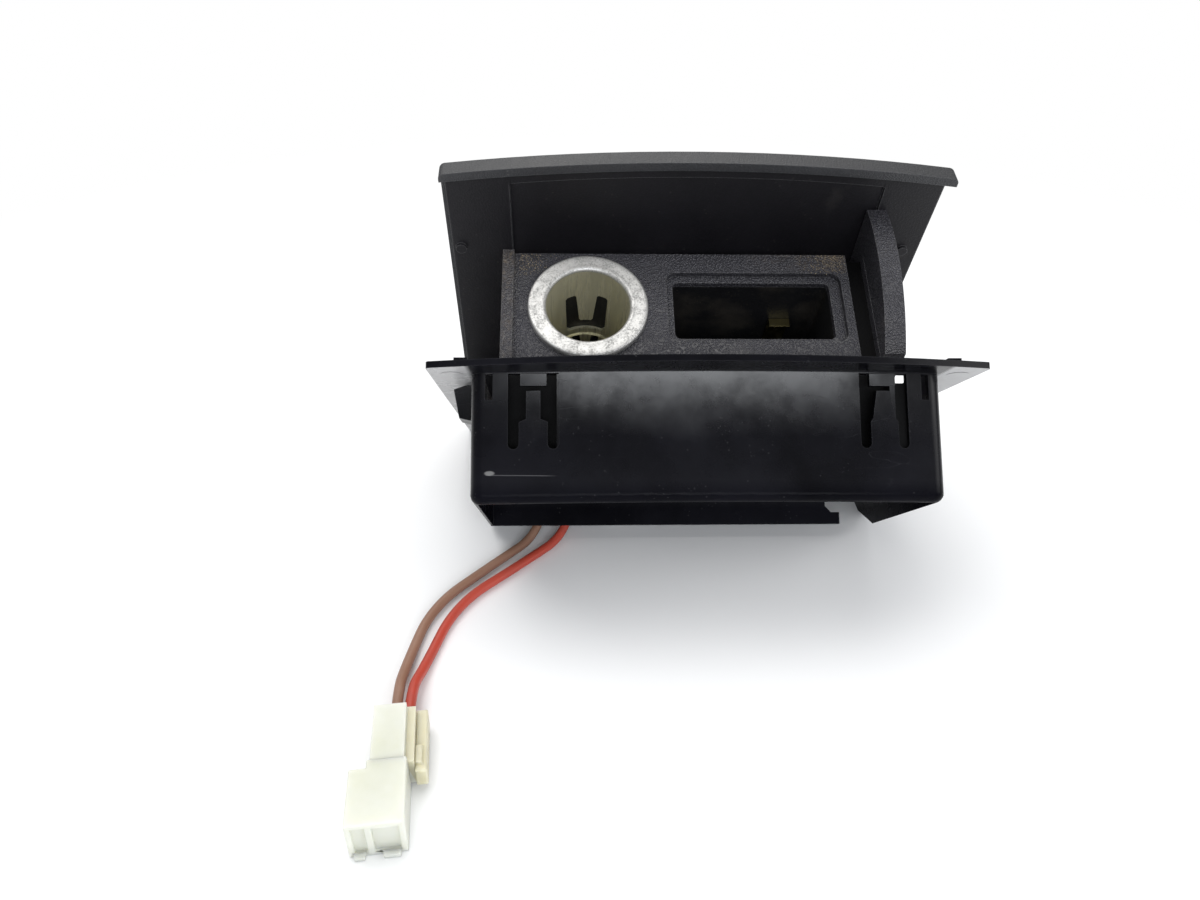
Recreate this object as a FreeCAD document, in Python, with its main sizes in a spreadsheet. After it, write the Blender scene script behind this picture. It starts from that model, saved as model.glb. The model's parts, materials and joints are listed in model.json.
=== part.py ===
import FreeCAD, Part
import Sketcher
import math
import os

doc = FreeCAD.newDocument("lighter_unit")
V3 = FreeCAD.Vector

# Every driving size, in millimetres and degrees.
SIZES = {
    "flange_width": 133.0,
    "flange_thick": 1.6,
    "flange_bow": 8.0,
    "wall": 1.8,
    "box_half": 56.6,
    "box_front": 2.0,
    "box_bow": 3.0,
    "corner_r": 3.4,
    "front_depth": 32.6,
    "tip_y": 53.3,
    "tip_depth": 35.8,
    "skid_y": 66.0,
    "skid_depth": 31.2,
    "rest_tilt": 42.0,
    "opening_rear": 91.0,
    "clip_inset": 14.9,
    "clip_half": 5.95,
    "tongue_half": 3.4,
    "tongue_tip_half": 1.7,
    "window_strip": 0.4,
    "barb_top": 4.6,
    "pivot_y": 95.0,
    "pivot_z": 0.6,
    "open_angle": 29.0,
    "pin_r": 1.2,
    "pin_gap": 0.15,
    "arm_slot_gap": 0.4,
    "lid_half": 65.6,
    "lid_bow": 4.2,
    "lid_height": 5.3,
    "lid_skin": 1.5,
    "lid_rim": 2.4,
    "lid_gap": 0.2,
    "backing_thick": 1.6,
    "fit_gap": 0.15,
    "panel_tilt": 10.8,
    "panel_thick": 3.2,
    "socket_x": -28.3,
    "barrel_r": 10.7,
    "barrel_skin": 0.8,
    "barrel_length": 40.0,
    "sleeve_long": 29.3,
    "clip_space": 12.0,
    "clip_step": 0.5,
    "ring_r": 15.4,
    "ring_height": 1.6,
    "left_wall": 3.0,
    "right_wall": 5.3,
    "drawer_left": 50.3,
    "drawer_right": 50.6,
    "cup_depth": 34.0,
    "cup_wall": 1.8,
    "wire_r": 1.25,
    "blade_wide": 6.3,
    "blade_thick": 0.8,
    "rivet_r": 2.0,
    "shell_wide": 8.2,
    "shell_high": 10.4,
    "shell_long": 15.1,
    "ledge_wide": 3.5,
    "ledge_high": 10.4,
    "cell_deep": 2.4,
    "neck_wide": 7.0,
    "neck_high": 9.0,
    "neck_long": 14.4,
    "step_wide": 1.9,
    "lock_wide": 2.5,
    "guard_thick": 1.2,
    "bore_pinch": 0.05,
}
sheet = doc.addObject("Spreadsheet::Sheet", "sizes")
for row, (alias, number) in enumerate(SIZES.items(), 1):
    sheet.set("A%d" % row, alias)
    sheet.set("B%d" % row, str(number))
    sheet.setAlias("B%d" % row, alias)
doc.recompute()


def size(alias):
    return float(sheet.get(alias))


tilt = math.radians(size("rest_tilt"))
opened = math.radians(size("open_angle"))
lean = math.radians(size("panel_tilt"))
flange_half = size("flange_width") / 2
flange_rear = size("skid_y") + (size("skid_depth") - size("flange_thick")) / math.tan(tilt)
lift = size("skid_y") * math.sin(tilt) + size("skid_depth") * math.cos(tilt)
# The middle of the resting part's box along Y, so that the origin is under its centre.
shift_y = -28.263


def rest(y, z):
    """A point of the flange's frame as it rests on the floor: Y away, Z up."""
    away = y * math.cos(tilt) + z * math.sin(tilt) + shift_y
    return (away, -y * math.sin(tilt) + z * math.cos(tilt) + lift)


X_AXIS = V3(1, 0, 0)
HOUSING_PLACE = FreeCAD.Placement(V3(0, shift_y, lift), FreeCAD.Rotation(X_AXIS, -size("rest_tilt")))
pivot_rest = rest(size("pivot_y"), size("pivot_z"))
drawer_turn = -size("rest_tilt") - size("open_angle")
pivot_spot = V3(0, pivot_rest[0], pivot_rest[1])
DRAWER_PLACE = FreeCAD.Placement(pivot_spot, FreeCAD.Rotation(X_AXIS, drawer_turn))

parts = []


def body(label, place):
    made = doc.addObject("PartDesign::Body", label)
    made.Label = label
    made.Placement = place
    parts.append(made)
    return made


def plane(owner, role):
    for item in owner.Origin.OriginFeatures:
        if item.Role == role:
            return item
    raise RuntimeError("no plane " + role)


def sketch(owner, name, role, start, turn=None, move=None):
    made = owner.newObject("Sketcher::SketchObject", name)
    made.AttachmentSupport = [(plane(owner, role), "")]
    made.MapMode = "FlatFace"
    height = -start if role == "XZ_Plane" else start
    spot = V3(0, 0, height) if move is None else move
    made.AttachmentOffset = FreeCAD.Placement(spot, FreeCAD.Rotation(X_AXIS, turn or 0.0))
    return made


def draw(made, loop):
    """A closed loop: a first point, then lines ('L', end) and arcs ('A', middle, end)."""
    spot = loop[0]
    first = made.GeometryCount
    for step in loop[1:]:
        end = step[-1]
        a = V3(spot[0], spot[1], 0)
        b = V3(end[0], end[1], 0)
        if step[0] == "L":
            made.addGeometry(Part.LineSegment(a, b), False)
        else:
            made.addGeometry(Part.Arc(a, V3(step[1][0], step[1][1], 0), b), False)
        spot = end
    last = made.GeometryCount - 1
    for index in range(first, last + 1):
        made.addConstraint(Sketcher.Constraint("Block", index))


def circle(made, x, y, radius, text):
    index = made.addGeometry(Part.Circle(V3(x, y, 0), V3(0, 0, 1), radius), False)
    made.addConstraint(Sketcher.Constraint("Radius", index, radius))
    made.setExpression("Constraints[%d]" % (made.ConstraintCount - 1), text)


def box_loop(x0, x1, y0, y1):
    return [(x0, y0), ("L", (x1, y0)), ("L", (x1, y1)), ("L", (x0, y1)), ("L", (x0, y0))]


def round_box(x0, x1, y0, y1, r):
    k = r * (1 - math.sqrt(0.5))
    return [
        (x0 + r, y0),
        ("L", (x1 - r, y0)),
        ("A", (x1 - k, y0 + k), (x1, y0 + r)),
        ("L", (x1, y1 - r)),
        ("A", (x1 - k, y1 - k), (x1 - r, y1)),
        ("L", (x0 + r, y1)),
        ("A", (x0 + k, y1 - k), (x0, y1 - r)),
        ("L", (x0, y0 + r)),
        ("A", (x0 + k, y0 + k), (x0 + r, y0)),
    ]


def lines(points):
    loop = [points[0]]
    for spot in points[1:]:
        loop.append(("L", spot))
    loop.append(("L", points[0]))
    return loop


def bowed(half, middle, bow, r, rear):
    """An outline with a bowed front and rounded front corners, from the left rear corner round."""
    big = (half * half + bow * bow) / (2 * bow)
    centre = middle + big
    fx = half - r
    fy = centre - math.sqrt((big - r) ** 2 - fx * fx)
    reach = math.hypot(fx, fy - centre)
    tx = fx * big / reach
    ty = centre + (fy - centre) * big / reach
    mid = math.atan2(ty - fy, tx - fx) / 2
    mx = fx + r * math.cos(mid)
    my = fy + r * math.sin(mid)
    return [
        (-half, rear),
        ("L", (-half, fy)),
        ("A", (-mx, my), (-tx, ty)),
        ("A", (0.0, middle), (tx, ty)),
        ("A", (mx, my), (half, fy)),
        ("L", (half, rear)),
        ("L", (-half, rear)),
    ]


def extrude(owner, name, made, depth, text=None, cut=False, back=None):
    """Pads or cuts a sketch towards rising X, Y or Z, by depth."""
    before = owner.Shape.Volume if owner.Tip else 0.0
    kind = "PartDesign::Pocket" if cut else "PartDesign::Pad"
    feature = owner.newObject(kind, name)
    feature.Profile = made
    feature.Length = depth
    if text:
        feature.setExpression("Length", text)
    on_xz = made.AttachmentSupport[0][0].Role == "XZ_Plane"
    feature.Reversed = (on_xz != cut) if back is None else back
    made.Visibility = False
    doc.recompute()
    after = owner.Shape.Volume
    if (cut and after > before - 0.01) or (not cut and after < before + 0.01):
        raise RuntimeError("%s in %s changed nothing: %.2f to %.2f" % (name, owner.Label, before, after))
    return feature


def soften(owner, name, edges, radius):
    base = owner.Tip
    feature = owner.newObject("PartDesign::Fillet", name)
    feature.Base = (base, edges)
    feature.Radius = radius
    doc.recompute()
    return feature


def block(owner, name, x, y, z, cut=False):
    made = sketch(owner, name + "_outline", "XY_Plane", z[0])
    draw(made, box_loop(x[0], x[1], y[0], y[1]))
    return extrude(owner, name, made, z[1] - z[0], None, cut)


# Housing: flange, open-bottomed box, snap clips and pivot corners.
half = size("box_half")
wall = size("wall")
housing = body("housing", HOUSING_PLACE)
bow = size("flange_bow")
sk = sketch(housing, "flange_outline", "XY_Plane", -size("flange_thick"))
draw(sk, bowed(flange_half, -bow, bow, 1.2, flange_rear))
extrude(housing, "flange", sk, size("flange_thick"), "sizes.flange_thick")
box_end = size("pivot_y")
sk = sketch(housing, "box_outline", "XY_Plane", -size("tip_depth") - 1.0)
draw(sk, bowed(half, size("box_front"), size("box_bow"), size("corner_r"), box_end))
extrude(housing, "box", sk, size("tip_depth"), "sizes.tip_depth")
slope = (size("tip_depth") - size("front_depth")) / (size("tip_y") - 4.0)
far = box_end + 2.0
far_z = -size("skid_depth") + (far - size("skid_y")) * math.tan(tilt)
sk = sketch(housing, "under_profile", "YZ_Plane", -half - 2)
draw(sk, lines([
    (-20.0, -size("front_depth") + 24 * slope),
    (size("tip_y"), -size("tip_depth")),
    (size("skid_y"), -size("skid_depth")),
    (far, far_z),
    (far, -60.0),
    (-20.0, -60.0),
]))
extrude(housing, "under_cut", sk, 2 * half + 4, "2 * sizes.box_half + 4", True)
names = []
for number, edge in enumerate(housing.Shape.Edges, 1):
    ends = [housing.Placement.inverse().multVec(v.Point) for v in edge.Vertexes]
    under = [abs(e.z + size("front_depth") + (e.y - 4.0) * slope) for e in ends]
    if max(under) < 0.02 and min(e.y for e in ends) < size("tip_y") - 0.5:
        names.append("Edge%d" % number)
soften(housing, "soft_bottom", names, 2.4)
inner = half - wall
sk = sketch(housing, "inside_outline", "XY_Plane", -60.0)
draw(sk, bowed(inner, size("box_front") + wall, size("box_bow"), 1.6, size("opening_rear")))
extrude(housing, "inside", sk, 70.0, None, True)


def wall_y(x, depth=0.0):
    return size("box_front") + depth + size("box_bow") * (x / half) ** 2


arm_gap = size("arm_slot_gap")
for side, low, high in (("left", -size("drawer_left"), -size("drawer_left") + size("left_wall")),
                        ("right", size("drawer_right") - size("right_wall"), size("drawer_right"))):
    block(housing, "arm_slot_" + side, (low - arm_gap, high + arm_gap),
          (size("opening_rear") - 3, flange_rear + 2), (-4.5, 5.0), True)
top = -size("flange_thick")
window_top = top - size("window_strip")
clip = size("clip_half")
clip_x = half - size("clip_inset")
tongue = size("tongue_half")
tip = size("tongue_tip_half")
for side, sign in (("left", -1), ("right", 1)):
    cx = sign * clip_x
    spread = tip if sign < 0 else tip + 1.1
    sk = sketch(housing, "clip_window_" + side, "XZ_Plane", -3.0)
    low = -20.0
    slot = clip - tongue
    draw(sk, [
        (cx - clip, window_top),
        ("L", (cx - clip, low + slot / 2)),
        ("A", (cx - clip + slot / 2, low), (cx - tongue, low + slot / 2)),
        ("L", (cx - tongue, -13.6)),
        ("L", (cx - spread, -12.9)),
        ("L", (cx - tip, -6.2)),
        ("L", (cx + tip, -6.2)),
        ("L", (cx + spread, -12.9)),
        ("L", (cx + tongue, -13.6)),
        ("L", (cx + tongue, low + slot / 2)),
        ("A", (cx + clip - slot / 2, low), (cx + clip, low + slot / 2)),
        ("L", (cx + clip, window_top)),
        ("L", (cx - clip, window_top)),
    ])
    extrude(housing, "clip_cut_" + side, sk, 14.0, None, True)
    sx = sign * (half - 4.4)
    sk = sketch(housing, "small_slot_" + side, "XZ_Plane", -3.0)
    draw(sk, box_loop(sx - 0.9, sx + 0.9, -8.2, window_top))
    extrude(housing, "small_slot_cut_" + side, sk, 14.0, None, True)
    front = wall_y(clip_x, 0.5)
    block(housing, "clip_tab_" + side, (cx - 3.1, cx + 3.1), (front, front + 1.2), (-4.9, window_top + 0.1))
    guard = size("guard_thick")
    guard_x = (cx - 7.3, cx + 6.7) if sign < 0 else (cx - 6.7, cx + 3.1)
    block(housing, "clip_guard_" + side, guard_x, (8.6, 8.6 + guard), (-24.0, top + 0.1))
    block(housing, "guard_rib_out_" + side, (guard_x[0], guard_x[0] + guard), (4.6, 8.7), (-24.0, top + 0.1))
    block(housing, "guard_rib_in_" + side, (guard_x[1] - guard, guard_x[1]), (4.6, 8.7), (-24.0, top + 0.1))
    edge = sign * half
    if sign > 0:
        block(housing, "slot_guard", (guard_x[1] - 0.1, guard_x[1] + 4.6), (5.5, 6.4), (-24.0, -4.0))
    else:
        sk = sketch(housing, "side_barb", "XZ_Plane", 16.0)
        barb = -size("barb_top")
        draw(sk, lines([(edge + 0.6, barb), (edge - 1.9, barb), (edge - 5.2, barb - 1.2),
                        (edge - 3.8, barb - 8.4), (edge + 0.6, barb - 9.4)]))
        extrude(housing, "side_barb_pad", sk, 7.0)
    tab_x = edge + sign * 2.0
    block(housing, "guide_tab_" + side, (tab_x - 1.6, tab_x + 1.6), (1.5, 7.5), (-0.4, 1.3))
    ear_in = size("drawer_right") + arm_gap if sign > 0 else size("drawer_left") + arm_gap
    hole = sketch(housing, "pin_hole_" + side, "YZ_Plane", ear_in - 2.0 if sign > 0 else -half - 2.0)
    circle(hole, size("pivot_y"), size("pivot_z"), size("pin_r"), "sizes.pin_r")
    ear = sketch(housing, "ear_" + side, "YZ_Plane", ear_in if sign > 0 else -half)
    draw(ear, [
        (size("opening_rear") + 0.6, -1.0),
        ("L", (flange_rear, -1.0)),
        ("L", (size("pivot_y") + 2.4, size("pivot_z"))),
        ("A", (size("pivot_y"), size("pivot_z") + 2.2), (size("pivot_y") - 2.4, size("pivot_z"))),
        ("L", (size("opening_rear") + 0.6, -1.0)),
    ])
    extrude(housing, "ear_pad_" + side, ear, half - ear_in)
    extrude(housing, "pin_bore_" + side, hole, half - ear_in + 4.0, None, True)
sk = sketch(housing, "cross_bar", "XZ_Plane", size("tip_y") - 0.3)
bar_low = -size("tip_depth")
draw(sk, lines([(-inner - 0.6, bar_low), (45.0, bar_low), (45.0, bar_low + 3.4), (42.6, bar_low + 3.4),
                (40.9, bar_low + 5.2), (40.9, -28.5), (-inner - 0.6, -28.5)]))
extrude(housing, "cross_bar_pad", sk, wall, "sizes.wall")

# Pivot pins, pressed into the housing's rear corners.
for side, sign in (("left", -1), ("right", 1)):
    pin = body("pivot_pin_" + side, HOUSING_PLACE)
    if sign < 0:
        low = -half - 0.4
        long = half + 0.4 - size("drawer_left") + size("left_wall") + 0.8
    else:
        low = size("drawer_right") - size("right_wall") - 0.8
        long = half + 0.4 - low
    sk = sketch(pin, "pin_section", "YZ_Plane", low)
    circle(sk, size("pivot_y"), size("pivot_z"), size("pin_r"), "sizes.pin_r")
    extrude(pin, "pin_pad", sk, long)

# Drawer pieces: local origin on the pivot, lid level (the closed position).
py = size("pivot_y")
pz = size("pivot_z")
lid_low = size("lid_gap")
lid_top = lid_low + size("lid_height")
skin_low = lid_top - size("lid_skin")
back_low = skin_low - size("backing_thick")
lid_half = size("lid_half")
lid_mid = -bow - 0.4 - py

cover = body("lid_cover", DRAWER_PLACE)
sk = sketch(cover, "cover_outline", "XY_Plane", lid_low)
lid_bow = size("lid_bow")
draw(sk, bowed(lid_half, lid_mid, lid_bow, 1.6, -1.0))
extrude(cover, "cover_pad", sk, size("lid_height"), "sizes.lid_height")
edges = []
for number, edge in enumerate(cover.Shape.Edges, 1):
    ends = [cover.Placement.inverse().multVec(v.Point) for v in edge.Vertexes]
    if min(e.z for e in ends) > lid_top - 0.01 and min(e.y for e in ends) < -2.0:
        edges.append("Edge%d" % number)
soften(cover, "soft_top", edges, 1.1)
rim = size("lid_rim")
sk = sketch(cover, "cover_inside", "XY_Plane", lid_low - 1.0)
wider = lid_half + 3.0
draw(sk, bowed(wider, lid_mid + rim, lid_bow * (wider / lid_half) ** 2, 0.3, 4.0))
extrude(cover, "cover_hollow", sk, size("lid_height") - size("lid_skin") + 1.0,
        "sizes.lid_height - sizes.lid_skin + 1", True)
trim_y = lid_mid + lid_bow + 3.2


def trim(owner, name, inset):
    """Draws the right side edge in towards the hinge."""
    made = sketch(owner, name + "_outline", "XY_Plane", back_low - 2.0)
    near = lid_half - 1.2 - inset
    far_x = lid_half - 3.4 - inset
    draw(made, lines([(near, trim_y), (lid_half + 2.0, trim_y), (lid_half + 2.0, 6.0), (far_x, 6.0)]))
    return extrude(owner, name, made, 12.0, None, True)


trim(cover, "cover_trim", 0.0)

gap = size("fit_gap")
backing = body("lid_backing", DRAWER_PLACE)
sk = sketch(backing, "backing_outline", "XY_Plane", back_low)
back_half = lid_half - 1.2
draw(sk, bowed(back_half, lid_mid + rim + gap, lid_bow * (back_half / lid_half) ** 2, 0.8, -2.5))
extrude(backing, "backing_pad", sk, size("backing_thick"), "sizes.backing_thick")
sk = sketch(backing, "recess_outline", "XY_Plane", back_low - 1.0)
draw(sk, bowed(lid_half - 17.4, lid_mid + 6.0, 2.4, 0.8, -9.0))
extrude(backing, "recess", sk, 1.9, None, True)
trim(backing, "backing_trim", 1.0)
for sign in (-1, 1):
    side = "left" if sign < 0 else "right"
    sk = sketch(backing, "stake_" + side, "XY_Plane", back_low - 0.9)
    circle(sk, sign * (lid_half - (7.0 if sign > 0 else 3.5)), lid_mid + 29.2, 1.5, "1.5")
    extrude(backing, "stake_pad_" + side, sk, 1.4)

# Drawer carrier: side walls, sloping panel, cup and arms to the pivot.
cy = -75.31
cz = -21.51
up = (-math.sin(lean), math.cos(lean))
out = (-math.cos(lean), -math.sin(lean))


def on_panel(v, d=0.0):
    return (cy + up[0] * v + out[0] * d, cz + up[1] * v + out[1] * d)


carrier = body("drawer_carrier", DRAWER_PLACE)
arm_r = 3.4
arm_turn = math.sqrt(arm_r ** 2 - back_low ** 2)
tail = [
    ("L", (-58.0, -36.6)),
    ("L", (-50.0, -27.0)),
    ("L", (-12.0, -7.0)),
    ("L", (0.0, -arm_r)),
    ("A", (arm_r, 0.0), (arm_turn, back_low)),
]
left_x = -size("drawer_left")
sk = sketch(carrier, "left_side", "YZ_Plane", left_x)
front_top = on_panel(17.0, 1.6)
front_low = on_panel(-17.0, 1.6)
draw(sk, [front_top, ("L", front_low)] + tail + [
    ("L", (-66.0, back_low)),
    ("L", (-70.5, front_top[1])),
    ("L", front_top),
])
extrude(carrier, "left_side_pad", sk, size("left_wall"), "sizes.left_wall")
right_x = size("drawer_right") - size("right_wall")
panel_low = left_x + size("left_wall") - 0.6
sk = sketch(carrier, "panel_profile", "YZ_Plane", panel_low)
thick = size("panel_thick")
a = on_panel(17.0)
b = on_panel(-17.2)
c = on_panel(-17.2, -thick)
d = on_panel(14.6, -thick)
draw(sk, lines([a, b, c, d, (a[0] + 13.0, d[1]), (a[0] + 13.0, a[1])]))
extrude(carrier, "panel_pad", sk, right_x + 0.6 - panel_low)
sk = sketch(carrier, "right_side", "YZ_Plane", right_x)
draw(sk, [(-87.8, back_low), ("A", (-84.8, -20.0), (-75.3, -37.2))] + tail + [("L", (-87.8, back_low))])
extrude(carrier, "right_side_pad", sk, size("right_wall"), "sizes.right_wall")


def panel_sketch(owner, name, d=0.0):
    spot = on_panel(0.0, d)
    return sketch(owner, name, "XZ_Plane", 0.0, size("panel_tilt"), V3(0, spot[1], -spot[0]))


cup_in = (-6.1, 35.3, -8.3, 8.9)
cw = size("cup_wall")
sk = panel_sketch(carrier, "cup_step", 1.0)
draw(sk, round_box(cup_in[0] - 1.7, cup_in[1] + 2.8, cup_in[2] - 1.7, cup_in[3] + 2.1, 2.8))
extrude(carrier, "cup_step_cut", sk, 2.6, None, True, False)
sk = panel_sketch(carrier, "cup_mouth", 1.0)
draw(sk, round_box(cup_in[0], cup_in[1], cup_in[2], cup_in[3], 1.5))
extrude(carrier, "cup_mouth_cut", sk, thick + 2.0, None, True, False)
hole_r = size("barrel_r") + size("barrel_skin") + 0.7
sk = panel_sketch(carrier, "socket_hole", 1.0)
circle(sk, size("socket_x"), 0.0, hole_r, "sizes.barrel_r + sizes.barrel_skin + 0.7")
extrude(carrier, "socket_hole_cut", sk, thick + 2.0, None, True, False)
for side, low in (("left", left_x - 1.0), ("right", right_x - 1.0)):
    sk = sketch(carrier, "arm_bore_" + side, "YZ_Plane", low)
    circle(sk, 0.0, 0.0, size("pin_r") + size("pin_gap"), "sizes.pin_r + sizes.pin_gap")
    extrude(carrier, "arm_bore_cut_" + side, sk, 8.0, None, True)

# Cup: a deep open box behind the panel's mouth.
cup = body("drawer_cup", DRAWER_PLACE)
sk = panel_sketch(cup, "cup_outline", -thick)
draw(sk, round_box(cup_in[0] - cw, cup_in[1] + cw, cup_in[2] - cw, cup_in[3] + cw, 1.5 + cw))
extrude(cup, "cup_block", sk, size("cup_depth") + cw - thick, None, False, True)
sk = panel_sketch(cup, "cup_inside", -thick + 1.0)
draw(sk, round_box(cup_in[0], cup_in[1], cup_in[2], cup_in[3], 1.5))
extrude(cup, "cup_hollow", sk, size("cup_depth") - thick + 1.0, None, True, False)

# Socket pieces: local origin at the ring's seat, Z out of the mouth, Y towards the lid.
seat = on_panel(0.0)
SOCKET_PLACE = DRAWER_PLACE.multiply(FreeCAD.Placement(
    V3(size("socket_x"), seat[0], seat[1]), FreeCAD.Rotation(X_AXIS, 90.0 + size("panel_tilt"))))


def turned(label, profile, place=None):
    """A turned piece from (radius, height) points."""
    made = body(label, place or SOCKET_PLACE)
    sk = sketch(made, label + "_half", "XZ_Plane", 0.0)
    draw(sk, profile)
    feature = made.newObject("PartDesign::Revolution", label + "_turn")
    feature.Profile = sk
    feature.ReferenceAxis = (sk, ["V_Axis"])
    feature.Angle = 360.0
    sk.Visibility = False
    doc.recompute()
    return made


def tube_loop(r0, r1, z0, z1):
    return box_loop(r0, r1, z0, z1)


inside = size("barrel_r")
outside = inside + size("barrel_skin")
deep = -size("barrel_length")
ring = size("ring_r")
ring_h = size("ring_height")
barrel = turned("socket_barrel", [
    (outside, deep),
    ("L", (outside, 0.0)),
    ("L", (ring, 0.0)),
    ("L", (ring, 0.6)),
    ("L", (ring - 0.35, ring_h - 0.35)),
    ("L", (ring - 1.1, ring_h)),
    ("L", (inside + 1.3, ring_h)),
    ("L", (inside + 0.4, ring_h - 0.4)),
    ("L", (inside, ring_h - 1.3)),
    ("L", (inside, deep + size("clip_space"))),
    ("L", (inside - size("clip_step"), deep + size("clip_space") - size("clip_step"))),
    ("L", (inside - size("clip_step"), deep + size("barrel_skin"))),
    ("L", (4.6, deep + size("barrel_skin"))),
    ("L", (4.6, deep)),
    ("L", (outside, deep)),
])
sk = sketch(barrel, "finger_slot", "XZ_Plane", 0.0)
draw(sk, lines([(-5.5, -4.4), (-2.7, -4.4), (-1.75, -15.6), (1.75, -15.6), (2.7, -4.4), (5.5, -4.4),
                (4.9, -18.0), (-4.9, -18.0)]))
draw(sk, lines([(-3.7, -23.6), (-2.4, -23.6), (-1.6, -29.2), (1.6, -29.2), (2.4, -23.6), (3.7, -23.6),
                (3.3, -30.6), (-3.3, -30.6)]))
extrude(barrel, "finger_slot_cut", sk, 16.0, None, True)
slots = barrel.newObject("PartDesign::PolarPattern", "finger_slots")
slots.Originals = [doc.getObject("finger_slot_cut")]
slots.Axis = (doc.getObject("socket_barrel_half"), ["V_Axis"])
slots.Angle = 360.0
slots.Occurrences = 2
barrel.Tip = slots
doc.recompute()

sleeve_in = outside + gap
sleeve = turned("socket_sleeve", tube_loop(sleeve_in, sleeve_in + 0.6, -thick - size("sleeve_long"), -thick))
rivet = size("rivet_r")
washer = turned("inner_washer", tube_loop(rivet + 0.1, 8.6, deep + size("barrel_skin"), deep + 1.6))
bimetal = turned("bimetal_clip", tube_loop(rivet + 0.1, 7.0, deep + 1.6, deep + 2.2))
for index in range(4):
    xs = (6.0, 6.6) if index == 0 else (-6.6, -6.0) if index == 2 else (-2.0, 2.0)
    ys = (6.0, 6.6) if index == 1 else (-6.6, -6.0) if index == 3 else (-2.0, 2.0)
    block(bimetal, "finger_%d" % index, xs, ys, (deep + 2.0, deep + 11.0))
disc = turned("socket_insulator", tube_loop(rivet + 0.1, 9.4, deep - 3.0, deep))
stud = turned("contact_rivet", [
    (0.0, deep - 4.9),
    ("L", (3.2, deep - 4.9)),
    ("L", (3.2, deep - 3.8)),
    ("L", (rivet, deep - 3.8)),
    ("L", (rivet, deep + 2.2)),
    ("L", (3.4, deep + 2.2)),
    ("L", (2.6, deep + 3.2)),
    ("L", (0.0, deep + 3.2)),
    ("L", (0.0, deep - 4.9)),
])
bw = size("blade_wide") / 2
bt = size("blade_thick")
live = body("positive_tab", SOCKET_PLACE)
block(live, "tab_foot", (-3.6, 3.6), (-3.6, 8.0 + bt), (deep - 3.0 - bt, deep - 3.0))
block(live, "tab_blade", (-bw, bw), (8.0, 8.0 + bt), (deep - 14.0, deep - 3.2))
sk = sketch(live, "tab_hole", "XY_Plane", deep - 5.0)
circle(sk, 0.0, 0.0, rivet + 0.1, "sizes.rivet_r + 0.1")
extrude(live, "tab_hole_cut", sk, 4.0, None, True)
earth = body("earth_tab", SOCKET_PLACE)
block(earth, "earth_blade", (outside, outside + bt), (-bw, bw), (deep - 10.0, deep + 7.0))
for label, x0, x1, y0, y1, end in (
        ("terminal_red", -bw, bw, 8.0, 8.0 + bt, deep - 14.0),
        ("terminal_brown", outside, outside + bt, -bw, bw, deep - 10.0)):
    made = body(label, SOCKET_PLACE)
    block(made, label + "_box", (x0 - 0.9, x1 + 0.9), (y0 - 0.9, y1 + 0.9), (end - 6.0, end + 8.0))
    block(made, label + "_slot", (x0 - gap, x1 + gap), (y0 - gap, y1 + gap), (end - 0.3, end + 9.0), True)
    lead = body(label.replace("terminal", "lead"), SOCKET_PLACE)
    sk = sketch(lead, label + "_lead_end", "XY_Plane", end - 14.0)
    circle(sk, (x0 + x1) / 2, (y0 + y1) / 2, size("wire_r"), "sizes.wire_r")
    extrude(lead, label + "_lead_pad", sk, 8.0)

# Cup spring: a small brass leaf with its rivet, under the cup's upper wall.
spring = body("cup_spring", SOCKET_PLACE)
spring_x = (51.1, 56.9)
spring_top = cup_in[3]
block(spring, "leaf", spring_x, (spring_top - 0.5, spring_top), (-30.0, -18.0))
block(spring, "leaf_lip", spring_x, (spring_top - 2.6, spring_top), (-18.5, -18.0))
knob = body("cup_rivet", SOCKET_PLACE)
sk = sketch(knob, "rivet_outline", "XZ_Plane", spring_top - 1.3)
circle(sk, 53.7, -21.4, 1.0, "1")
extrude(knob, "rivet_pad", sk, 0.8)

# Cable clip on the cross bar's back, with two bores for the wires.
bar_back = size("tip_y") - 0.3 + wall
wire_x = (-40.6, -32.6)
wire_y = bar_back + 2.4
clip_low = -32.5
holder = body("cable_clip", HOUSING_PLACE)
block(holder, "clip_block", (-43.6, -29.6), (bar_back, bar_back + 4.8), (clip_low, -27.4))
sk = sketch(holder, "clip_bores", "XY_Plane", clip_low - 1.0)
for x in wire_x:
    circle(sk, x, wire_y, size("wire_r") - size("bore_pinch"), "sizes.wire_r - sizes.bore_pinch")
extrude(holder, "clip_bores_cut", sk, 6.0, None, True)

# Detent leaf under the flange's rear strip.
leaf = body("detent_leaf", HOUSING_PLACE)
block(leaf, "detent_strip", (-9.0, 9.0), (size("opening_rear") - 9.0, size("opening_rear") + 2.6), (0.0, 0.5))
block(leaf, "detent_bump", (-9.0, 9.0), (size("opening_rear") - 9.0, size("opening_rear") - 6.0), (0.4, 1.3))
screw = body("detent_screw", HOUSING_PLACE)
sk = sketch(screw, "screw_head", "XY_Plane", 0.5)
circle(sk, 0.0, size("opening_rear") + 0.9, 1.5, "1.5")
extrude(screw, "screw_head_pad", sk, 0.8)

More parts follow.
